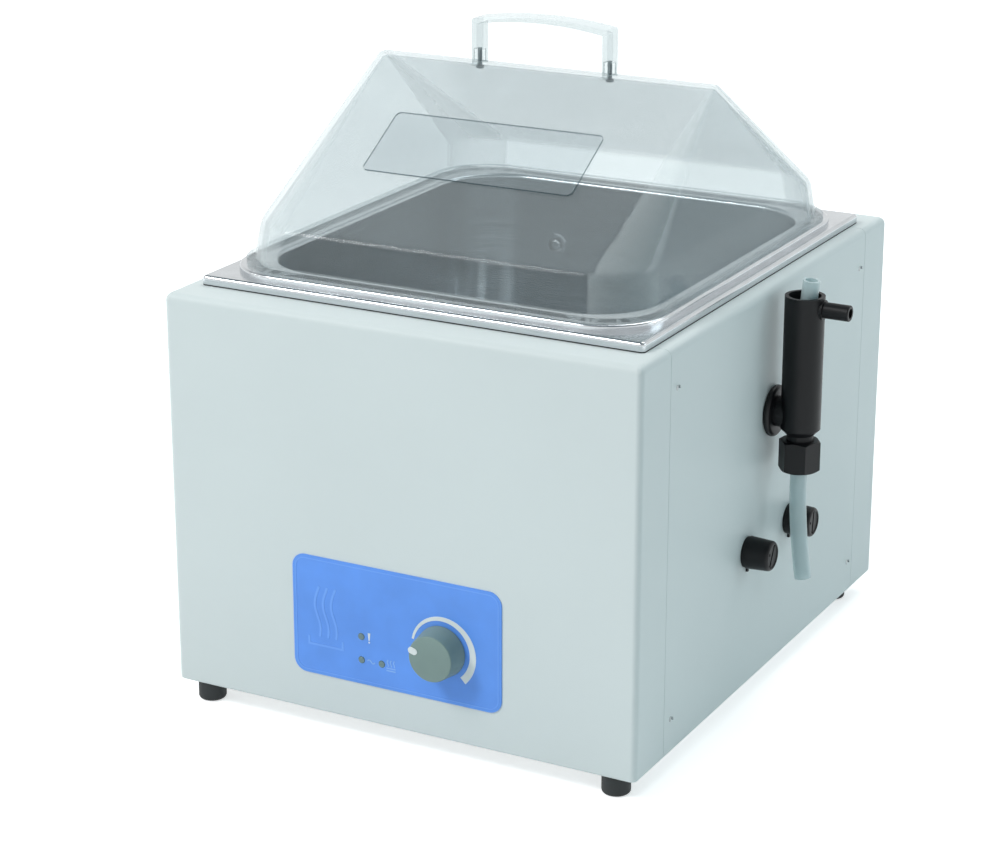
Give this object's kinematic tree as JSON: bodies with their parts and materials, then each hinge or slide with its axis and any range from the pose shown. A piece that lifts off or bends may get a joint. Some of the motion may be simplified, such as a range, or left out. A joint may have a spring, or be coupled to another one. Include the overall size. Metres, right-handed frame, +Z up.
{
  "type": "water bath",
  "caption": "Free-standing boiling water bath: painted casing, drawn steel tank, clear gabled lid with handle, turning heat knob and side constant-level device.",
  "frame": {"origin": "on the surface that the feet stand on, under the middle of the casing", "axes": "+X to the right of the control panel, towards the constant-level device; +Y from the control panel to the back; +Z up"},
  "size_m": [0.3882, 0.4187, 0.4379],
  "materials": {
    "casing_paint": "satin",
    "sheet_steel": "satin",
    "tank_steel": "brushed",
    "screw_steel": "polished",
    "brass": "satin",
    "aluminium": "satin",
    "clear_plastic": "clear",
    "tube_plastic": "translucent",
    "overlay_film": "satin",
    "lamp_lens": "gloss",
    "knob_plastic": "matt",
    "white_plastic": "matt",
    "black_plastic": "satin",
    "rubber": "matt",
    "board": "satin",
    "link_glass": "clear",
    "wool": "fibrous"
  },
  "bodies": {
    "bath": {"front_panel": "casing_paint", "rear_panel": "casing_paint", "side_panel_left": "casing_paint", "side_panel_right": "casing_paint", "base_plate": "sheet_steel", "element_clamp": "sheet_steel", "heater_element": "sheet_steel", "tie_rods": "sheet_steel", "overheat_cutout": "sheet_steel", "tank": "tank_steel", "sensor_bush": "tank_steel", "level_sensor": "tank_steel", "temperature_probe": "tank_steel", "level_port": "tank_steel", "side_panel_screws": "screw_steel", "base_screws": "screw_steel", "foot_screws": "screw_steel", "board_screws": "screw_steel", "inlet_screws": "screw_steel", "inlet_nuts": "screw_steel", "clamp_nuts": "screw_steel", "tie_rod_nuts": "screw_steel", "regulator_nut": "screw_steel", "earth_stud": "brass", "earth_nut": "brass", "inlet_pins": "brass", "control_overlay": "overlay_film", "indicator_lamps": "lamp_lens", "terminal_block": "white_plastic", "board_pillars": "white_plastic", "level_collar": "black_plastic", "level_chamber": "black_plastic", "fuse_holder_front": "black_plastic", "fuse_holder_rear": "black_plastic", "fuse_holder_nuts": "black_plastic", "mains_inlet": "black_plastic", "power_relay": "black_plastic", "regulator_body": "black_plastic", "foot_front_left": "rubber", "foot_front_right": "rubber", "foot_rear_left": "rubber", "foot_rear_right": "rubber", "gland_seal": "rubber", "tank_seal": "rubber", "control_board": "board", "insulation": "wool"},
    "lid": {"lid_cover": "clear_plastic", "lid_handle": "clear_plastic", "handle_screws": "screw_steel"},
    "knob_and_shaft": {"knob": "knob_plastic", "knob_pointer": "white_plastic", "knob_grub_screw": "screw_steel", "regulator_shaft": "aluminium"},
    "gland": {"gland_nut": "black_plastic"},
    "level_tube": {"overflow_tube": "tube_plastic"},
    "front_link": {"fuse_link_front": "link_glass"},
    "front_cap": {"fuse_cap_front": "black_plastic"},
    "rear_link": {"fuse_link_rear": "link_glass"},
    "rear_cap": {"fuse_cap_rear": "black_plastic"}
  },
  "joints": [
    {"name": "lid_lift", "type": "slide", "parent": "bath", "child": "lid", "axis": [0, 0, 1], "range_m": [0, 0.2]},
    {"name": "knob_turn", "type": "hinge", "parent": "bath", "child": "knob_and_shaft", "pos_m": [0.033, -0.2, 0.075], "axis": [0, 1, 0], "range_deg": [0, 212]},
    {"name": "gland_turn", "type": "hinge", "parent": "bath", "child": "gland", "pos_m": [0.1875, 0, 0.17], "axis": [0, 0, -1], "range_deg": [0, 180]},
    {"name": "tube_slide", "type": "slide", "parent": "bath", "child": "level_tube", "axis": [0, 0, 1], "range_m": [-0.03, 0.008]},
    {"name": "front_fuse_pull", "type": "slide", "parent": "bath", "child": "front_link", "axis": [1, 0, 0], "range_m": [0, 0.045]},
    {"name": "front_cap_turn", "type": "hinge", "parent": "front_link", "child": "front_cap", "pos_m": [0.1675, -0.035, 0.1095], "axis": [1, 0, 0], "range_deg": [0, 90]},
    {"name": "rear_fuse_pull", "type": "slide", "parent": "bath", "child": "rear_link", "axis": [1, 0, 0], "range_m": [0, 0.045]},
    {"name": "rear_cap_turn", "type": "hinge", "parent": "rear_link", "child": "rear_cap", "pos_m": [0.1675, 0.035, 0.1095], "axis": [1, 0, 0], "range_deg": [0, 90]}
  ]
}
